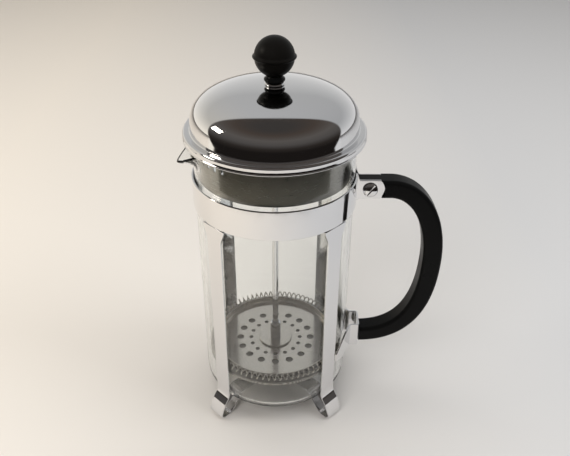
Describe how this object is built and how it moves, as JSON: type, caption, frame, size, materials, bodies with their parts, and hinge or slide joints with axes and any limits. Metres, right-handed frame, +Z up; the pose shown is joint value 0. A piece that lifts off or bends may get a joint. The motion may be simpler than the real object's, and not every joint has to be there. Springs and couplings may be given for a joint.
{
  "type": "french press coffee maker",
  "caption": "French press: glass beaker with poured spout in a chromed frame with feet and a black D handle, under a domed lid with a plunger, knob and coil-edged filter.",
  "frame": {"origin": "on the table plane, under the middle of the whole press; the beaker's axis is 26.6 mm towards -X of it", "axes": "+Z up along the beaker's axis, +X towards the handle, -Y towards the front"},
  "size_m": [0.1612, 0.1058, 0.248],
  "materials": {
    "chrome": "bright chrome plate and polished stainless steel",
    "steel": "brushed stainless steel",
    "brass": "plain machined",
    "glass": "clear borosilicate glass",
    "matte_black": "satin moulded plastic",
    "gloss_black": "polished moulded plastic"
  },
  "bodies": {
    "frame": {"frame_band": "chrome", "leg_strip_left": "chrome", "leg_strip_right": "chrome", "leg_rivet": "steel", "handle": "matte_black", "clamp_screw": "chrome", "clamp_washer": "steel", "clamp_nut": "chrome", "handle_strap": "chrome", "handle_end_screw": "steel"},
    "beaker": {"beaker": "glass"},
    "lid": {"lid_dome": "chrome", "lid_liner": "steel", "guide_bridge": "steel", "rod_guide": "brass", "dome_bush": "chrome"},
    "plunger": {"knob": "matte_black", "knob_insert": "brass", "knob_collar": "gloss_black", "plunger_rod": "chrome", "rod_ferrule": "chrome"},
    "filter": {"pressure_washer": "chrome", "filter_plate": "chrome", "coil_spring": "steel", "mesh_filter": "steel", "cross_plate": "steel", "filter_nut": "steel"}
  },
  "joints": [
    {"name": "beaker_lift", "type": "slide", "parent": "frame", "child": "beaker", "axis": [0, 0, 1], "range_m": [0, 0.16]},
    {"name": "lid_lift", "type": "slide", "parent": "beaker", "child": "lid", "axis": [0, 0, 1], "range_m": [0, 0.17]},
    {"name": "plunger_press", "type": "slide", "parent": "lid", "child": "plunger", "axis": [0, 0, 1], "range_m": [0, 0.122]},
    {"name": "filter_turn", "type": "hinge", "parent": "plunger", "child": "filter", "pos_m": [-0.02658, 0, 0.036], "axis": [0, 0, 1], "continuous": true}
  ]
}
